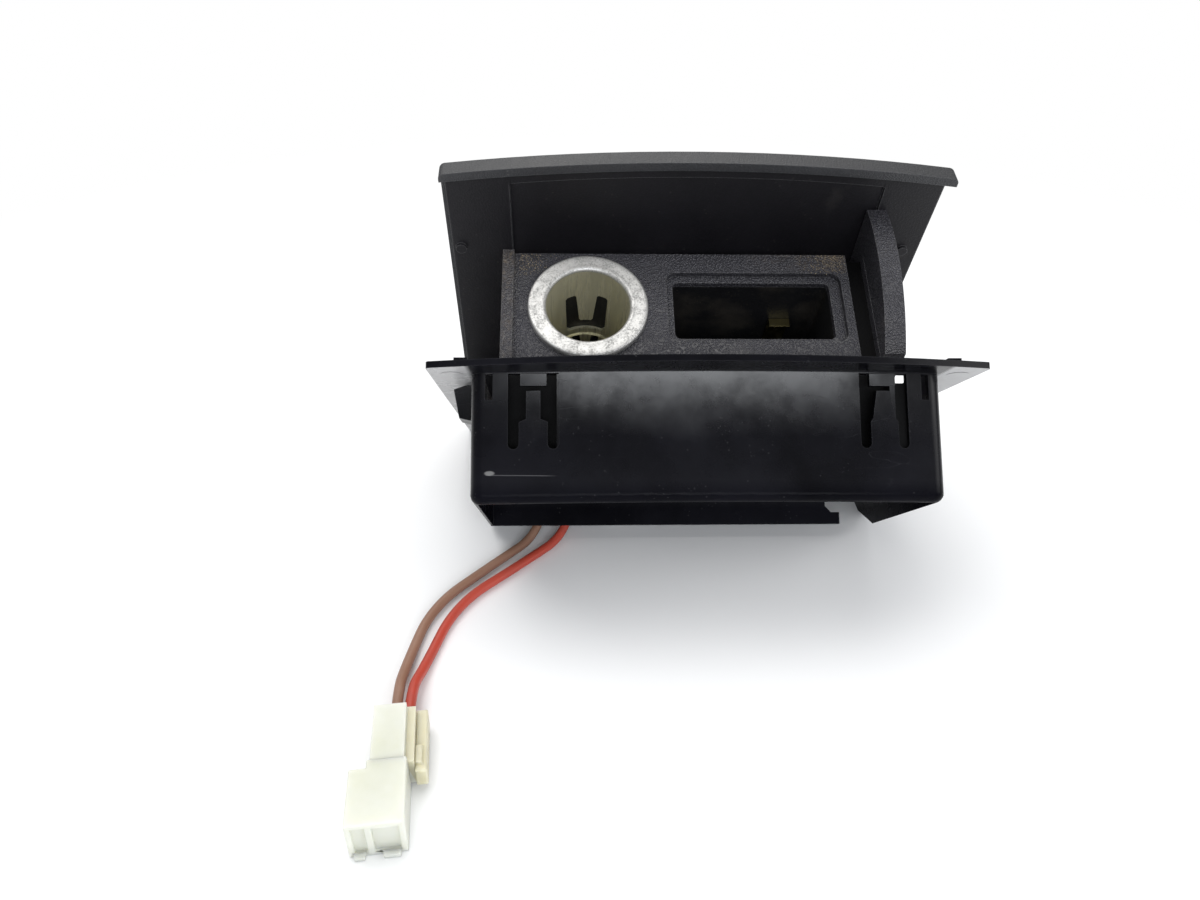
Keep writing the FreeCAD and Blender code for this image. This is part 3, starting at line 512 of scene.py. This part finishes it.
# Mouldings and pressed pieces, with rounded edges.
ROUND_OFF = {
    "housing": 0.22,
    "lid_cover": 0.3,
    "lid_backing": 0.15,
    "drawer_carrier": 0.22,
    "drawer_cup": 0.3,
    "socket_sleeve": 0.15,
    "inner_washer": 0.1,
    "bimetal_clip": 0.08,
    "socket_insulator": 0.2,
    "contact_rivet": 0.15,
    "positive_tab": 0.12,
    "earth_tab": 0.12,
    "terminal_red": 0.3,
    "terminal_brown": 0.3,
    "lead_red": 0.0,
    "lead_brown": 0.0,
    "cup_spring": 0.1,
    "cup_rivet": 0.3,
    "cable_clip": 0.25,
    "detent_leaf": 0.1,
    "detent_screw": 0.2,
    "pivot_pin_left": 0.2,
    "pivot_pin_right": 0.2,
    "connector_neck": 0.3,
    "connector_shell": 0.3,
    "connector_lock": 0.35,
    "connector_pin_a": 0.15,
    "connector_pin_b": 0.15,
}
skins = {node: dressed(node, round_off) for node, round_off in ROUND_OFF.items()}


def shade(made, frame, inside):
    """Gives the deep faces that a test picks, in a frame's millimetres, flat near-black as painted shade of
    a recess.
    """
    made.data.materials.append(FINISH["recess_black"])
    back = frame.inverted()
    for face in made.data.polygons:
        if inside(back @ face.center):
            face.material_index = len(made.data.materials) - 1


def behind_clips(spot):
    return 34.9 < abs(spot.x) < 49.6 and 4.7 < spot.y < 9.9 and -24.2 < spot.z < -1.5


def in_groove(spot):
    return 40.5 < spot.x < 45.4 and -2.6 < spot.z < -0.4 and -17.6 < spot.y < 17.4


# The plug lies on the floor, turned a little, with its near end towards the camera.
PLUG_SPOT = Vector((-72.9, -79.403, 0.0))
PLUG_TURN = math.radians(6.0)
PLUG = Matrix.Scale(MM, 4) @ Matrix.Translation(PLUG_SPOT) @ Matrix.Rotation(PLUG_TURN, 4, "Z")
STEP_SIDE = 3.35
STEP_TOP = (6.0, 7.2)
STEP_RISE = 1.6
CELL_BACK = (-27.6, -26.6)
CELL_HEIGHT = (0.6, 10.0)
MOUTH_BACK = -28.9
BLADE_TIP = -28.0
BLADE_DRAWN_IN = 0.9
BARB_RISE = 2.3


def reshape(made, frame, moved):
    """Moves each point to where a function of its place in a frame's millimetres puts it, or leaves it."""
    back = frame.inverted()
    for vert in made.data.vertices:
        spot = moved(back @ vert.co)
        if spot is not None:
            vert.co = frame @ spot


def raised_step(spot):
    if spot.x > STEP_SIDE and STEP_TOP[0] < spot.z < STEP_TOP[1]:
        return spot + Vector((0.0, 0.0, STEP_RISE))


def shallow_mouth(spot):
    if CELL_BACK[0] < spot.y < CELL_BACK[1] and CELL_HEIGHT[0] < spot.z < CELL_HEIGHT[1]:
        return Vector((spot.x, MOUTH_BACK, spot.z))


def drawn_in(spot):
    if spot.y < BLADE_TIP:
        return spot + Vector((0.0, BLADE_DRAWN_IN, 0.0))


def raised_barb(spot):
    if spot.x < -56.5 and 15.5 < spot.y < 23.5 and -14.8 < spot.z < -4.2:
        return spot + Vector((0.0, 0.0, BARB_RISE))


neck = skins["connector_neck"]
neck.data.materials.append(FINISH["lock_ivory"])
reshape(neck, PLUG, raised_step)
to_plug = PLUG.inverted()
for face in neck.data.polygons:
    if (to_plug @ face.center).x > STEP_SIDE + 0.25:
        face.material_index = 1
reshape(skins["connector_shell"], PLUG, shallow_mouth)
tinned = plated("tinned_pin", (0.72, 0.71, 0.68), 0.4, (0.45, 0.44, 0.4), 900.0, 0.2)
for side in "ab":
    blade = skins["connector_pin_" + side]
    blade.data.materials[0] = tinned
    reshape(blade, PLUG, drawn_in)
# Painted shade: the faces behind the snap-clip windows get the flat black of a shaded recess.
shade(skins["housing"], FLANGE, behind_clips)
reshape(skins["housing"], FLANGE, raised_barb)


# Socket: a spun ring and barrel, with the sprung fingers' slots cut through it.

def spun(name, profile, steps, place):
    """A closed turned shape from (radius, height) points in millimetres."""
    bm = bmesh.new()
    rings = []
    for step in range(steps):
        angle = 2 * math.pi * step / steps
        rings.append([bm.verts.new((r * math.cos(angle), r * math.sin(angle), z)) for r, z in profile])
    count = len(profile)
    for step in range(steps):
        here = rings[step]
        there = rings[(step + 1) % steps]
        for k in range(count):
            bm.faces.new((here[k], there[k], there[(k + 1) % count], here[(k + 1) % count]))
    bmesh.ops.recalc_face_normals(bm, faces=bm.faces)
    bmesh.ops.transform(bm, matrix=place, verts=bm.verts)
    mesh = bpy.data.meshes.new(name)
    bm.to_mesh(mesh)
    bm.free()
    return add_object(name, mesh)


def arc(cx, cz, radius, start, end, steps):
    turns = [math.radians(start + (end - start) * k / steps) for k in range(steps + 1)]
    return [(cx + radius * math.cos(t), cz + radius * math.sin(t)) for t in turns]


def prism(name, outline, y_low, y_high, place):
    """A flat outline in X and Z, pushed along Y, as a cutter."""
    bm = bmesh.new()
    low = [bm.verts.new((x, y_low, z)) for x, z in outline]
    high = [bm.verts.new((x, y_high, z)) for x, z in outline]
    bm.faces.new(low)
    bm.faces.new(list(reversed(high)))
    for k in range(len(outline)):
        n = (k + 1) % len(outline)
        bm.faces.new((low[k], high[k], high[n], low[n]))
    bmesh.ops.recalc_face_normals(bm, faces=bm.faces)
    bmesh.ops.transform(bm, matrix=place, verts=bm.verts)
    mesh = bpy.data.meshes.new(name)
    bm.to_mesh(mesh)
    bm.free()
    return add_object(name, mesh)


def cut_from(target, cutters):
    for cutter in cutters:
        step = target.modifiers.new(cutter.name, "BOOLEAN")
        step.operation = "DIFFERENCE"
        step.solver = "EXACT"
        step.object = cutter
    flatten(target)
    for cutter in cutters:
        bpy.data.objects.remove(cutter)


groove = prism("groove_cutter", [(40.4, -2.4), (45.2, -2.4), (45.2, 1.0), (40.4, 1.0)], -17.4, 17.2, PANEL)
cut_from(skins["drawer_carrier"], [groove])
# Painted shade: the faces inside the groove get the flat black of a shaded recess.
shade(skins["drawer_carrier"], PANEL, in_groove)

BORE, SKIN, DEEP, RING = 10.7, 0.8, -40.0, 15.4
lip = arc(RING - 0.75, 0.85, 0.75, 0.0, 88.0, 6) + [(RING - 1.6, 1.6), (12.6, 1.52)]
lip += arc(BORE + 1.0, 0.6, 0.98, 75.0, 180.0, 8)
profile = [(BORE + SKIN, DEEP), (BORE + SKIN, 0.0), (RING, 0.0)] + lip
NARROW = BORE - 0.5
profile += [(BORE, -3.0), (BORE, -27.2), (BORE, -28.0)]
profile += [(NARROW, -28.5), (NARROW, -36.4), (NARROW, DEEP + SKIN), (4.6, DEEP + SKIN), (4.6, DEEP)]
barrel = spun("socket_shell", profile, 144, SOCKET)
tongue_side = [(-4.5, -25.8), (-5.4, -24.6), (-5.7, -10.0), (-5.2, -9.4), (-3.3, -9.4), (-2.8, -10.0),
               (-1.9, -20.9), (-1.4, -21.7)]
lower_side = [(-3.5, -36.2), (-3.9, -28.6), (-1.7, -28.6), (-1.2, -34.0)]


def mirrored(side):
    """A whole slot from its left half, drawn clockwise from the bottom."""
    return side + [(-x, z) for x, z in reversed(side)]


cutters = []
for number, outline in enumerate((mirrored(tongue_side), mirrored(lower_side))):
    for side, span in enumerate(((3.0, 14.0), (-14.0, -3.0))):
        cutters.append(prism("slot_cutter_%d_%d" % (number, side), outline, span[0], span[1], SOCKET))
cut_from(barrel, cutters)
smooth(barrel.data, 35.0)
settle(barrel, "drawer", "socket_zinc")
barrel.data.materials.append(FINISH["barrel_stain"])
inward = SOCKET.inverted()
for face in barrel.data.polygons:
    middle = inward @ face.center
    aim = (inward.to_3x3() @ face.normal).normalized()
    level = aim.x * middle.x + aim.y * middle.y
    if middle.z < 0.2 and level < 0.0:
        face.material_index = 1
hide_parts("socket_barrel")


# Geometry nodes: what is scattered or repeated.

def growth(name, inputs):
    """A geometry node group with named inputs and one output; a value is a socket type and its default."""
    tree = bpy.data.node_groups.new(name, "GeometryNodeTree")
    tree.interface.new_socket("Surface", in_out="INPUT", socket_type="NodeSocketGeometry")
    for label, (kind, value) in inputs.items():
        socket = tree.interface.new_socket(label, in_out="INPUT", socket_type="NodeSocket" + kind)
        if value is not None:
            socket.default_value = value
    tree.interface.new_socket("Pieces", in_out="OUTPUT", socket_type="NodeSocketGeometry")
    return Wiring(tree), tree.nodes.new("NodeGroupInput").outputs, tree.nodes.new("NodeGroupOutput")


def leave_coated(wiring, spread, given, leave):
    """Realizes the instances, gives them the coat and sends them out of the group."""
    real = wiring.add("GeometryNodeRealizeInstances", {0: spread}).outputs[0]
    coated = wiring.add("GeometryNodeSetMaterial", {"Geometry": real, "Material": given["Coat"]}).outputs[0]
    wiring.tree.links.new(coated, leave.inputs[0])


def grown(name, surface, group, values):
    """Runs a group over a surface mesh and keeps its pieces as a plain mesh."""
    made = add_object(name, surface)
    step = made.modifiers.new(name, "NODES")
    step.node_group = bpy.data.node_groups[group]
    for item in step.node_group.interface.items_tree:
        if item.in_out == "INPUT" and item.name in values:
            step[item.identifier] = values[item.name]
    flatten(made)
    return made


w, given, leave = growth("scattered_grit", {
    "Density": ("Float", 9000000.0),
    "Grain": ("Float", 0.0001),
    "Corner A": ("Vector", (0.0, 0.0, 0.0)),
    "Corner B": ("Vector", (0.0, 0.0, 0.0)),
    "Reach": ("Float", 0.012),
    "Seed": ("Int", 7),
    "Coat": ("Material", None),
})
spot = w.add("GeometryNodeInputPosition").outputs[0]
gaps = []
for corner in ("Corner A", "Corner B"):
    gap = w.vector("DISTANCE", {0: spot, 1: given[corner]}, "Value")
    gaps.append(w.maths("DIVIDE", gap, given["Reach"]))
close = w.span(w.maths("MINIMUM", gaps[0], gaps[1]), 1.0, 0.0)
thick = w.times(w.maths("POWER", close, 2.0), given["Density"])
finer = w.add("GeometryNodeSubdivideMesh", {"Mesh": given["Surface"], "Level": 6}).outputs[0]
scatter = {"Mesh": finer, "Density": thick, "Seed": given["Seed"]}
points = w.add("GeometryNodeDistributePointsOnFaces", scatter).outputs
speck = w.add("GeometryNodeMeshIcoSphere", {"Radius": given["Grain"], "Subdivisions": 1}).outputs[0]
sizes = {2: 0.45, 3: 1.5, "Seed": given["Seed"]}
girth = w.add("FunctionNodeRandomValue", sizes, data_type="FLOAT").outputs[1]
laid = {"Points": points["Points"], "Instance": speck, "Rotation": points["Rotation"], "Scale": girth}
spread = w.add("GeometryNodeInstanceOnPoints", laid).outputs[0]
leave_coated(w, spread, given, leave)

w, given, leave = growth("pressed_marks", {
    "Radius": ("Float", 0.0026),
    "Rise": ("Float", 0.00012),
    "Turn": ("Rotation", None),
    "Coat": ("Material", None),
})
points = w.add("GeometryNodeMeshToPoints", {"Mesh": given["Surface"]}).outputs[0]
round_mark = {"Vertices": 40, "Radius": given["Radius"], "Depth": given["Rise"]}
disc = w.add("GeometryNodeMeshCylinder", round_mark).outputs["Mesh"]
laid = {"Points": points, "Instance": disc, "Rotation": given["Turn"]}
spread = w.add("GeometryNodeInstanceOnPoints", laid).outputs[0]
leave_coated(w, spread, given, leave)

grit_coat = plain_cover("pale_grit", (0.3, 0.24, 0.16), 0.8, (0.12, 0.09, 0.06))
panel_face = bpy.data.meshes.new("panel_face")
strip = ((-46.0, 10.0), (-6.0, 12.6), (40.0, 10.5), (40.0, 16.8), (-46.0, 16.8))
GRIT_LIFT = 0.02
corners = [PANEL @ Vector((x, v, GRIT_LIFT)) for x, v in strip]
panel_face.from_pydata(corners, [], [tuple(range(len(strip)))])
grit = grown("panel_grit", panel_face, "scattered_grit", {
    "Corner A": tuple(PANEL @ Vector((37.0, 16.8, 0.0))),
    "Corner B": tuple(PANEL @ Vector((-46.5, 16.0, 0.0))),
    "Coat": grit_coat,
})
settle(grit, "drawer", "carrier_grey", grit_coat)
mark_spots = bpy.data.meshes.new("mark_spots")
MARK_X, MARK_Y, UNDERSIDE = 61.2, (6.6, 62.0), -1.6
spots = [FLANGE @ Vector((side * MARK_X, y, UNDERSIDE)) for y in MARK_Y for side in (-1, 1)]
mark_spots.from_pydata(spots, [], [])
marks = grown("ejector_marks", mark_spots, "pressed_marks", {
    "Turn": (-REST_TILT, 0.0, 0.0),
    "Coat": FINISH["housing_black"],
})
settle(marks, "housing", "housing_black")


# Floor, lamps and backdrop.
def set_stage():
    bm = bmesh.new()
    bmesh.ops.create_grid(bm, x_segments=1, y_segments=1, size=6.0)
    mesh = bpy.data.meshes.new("floor")
    bm.to_mesh(mesh)
    bm.free()
    floor = add_object("floor", mesh)
    made, w, shader = finish("pale_floor")
    shader.inputs["Base Color"].default_value = (0.9, 0.905, 0.915, 1.0)
    shader.inputs["Roughness"].default_value = 0.5
    shader.inputs["Specular IOR Level"].default_value = 0.2
    place = w.place()
    reach = w.vector("LENGTH", {0: place}, "Value")
    path = w.add("ShaderNodeLightPath").outputs
    seen = w.maths("MAXIMUM", path["Is Camera Ray"], path["Is Transmission Ray"])
    glow = w.add("ShaderNodeEmission", {"Color": (1.0, 1.0, 1.0, 1.0), "Strength": 1.0}).outputs[0]
    bright = w.times(w.span(reach, 0.14, 0.4), seen)
    blend = w.add("ShaderNodeMixShader", {0: bright, 1: shader.outputs[0], 2: glow})
    w.tree.links.new(blend.outputs[0], made.node_tree.nodes["Material Output"].inputs["Surface"])
    mesh.materials.append(made)
    world = bpy.data.worlds.new("studio")
    scene.world = world
    world.use_nodes = True
    w = Wiring(world.node_tree)
    ground = world.node_tree.nodes["Background"]
    path = w.add("ShaderNodeLightPath").outputs
    seen = w.maths("MAXIMUM", path["Is Camera Ray"], path["Is Transmission Ray"])
    w.tree.links.new(w.span(seen, 0.0, 1.0, 0.38, 1.0), ground.inputs["Strength"])
    ground.inputs["Color"].default_value = (0.98, 0.99, 1.0, 1.0)
    lamps = (
        ("key_softbox", (-0.2, 0.3, 0.95), (0.0, -0.02, 0.0), 1.3, 0.9, 11.0, (1.0, 0.99, 0.97)),
        ("front_softbox", (0.05, -0.8, 0.42), (0.0, -0.03, 0.05), 0.8, 0.3, 4.2, (0.93, 0.96, 1.0)),
        ("side_fill", (0.75, -0.25, 0.45), (0.0, 0.0, 0.05), 0.4, 0.5, 2.0, (1.0, 1.0, 1.0)),
    )
    for name, place, aim, wide, high, power, tone in lamps:
        lamp = bpy.data.lights.new(name, "AREA")
        lamp.shape = "RECTANGLE"
        lamp.size = wide
        lamp.size_y = high
        lamp.energy = power
        lamp.color = tone
        made = add_object(name, lamp)
        made.location = place
        made.rotation_euler = (Vector(aim) - Vector(place)).to_track_quat("-Z", "Y").to_euler()


set_stage()
scene.view_settings.view_transform = "Standard"
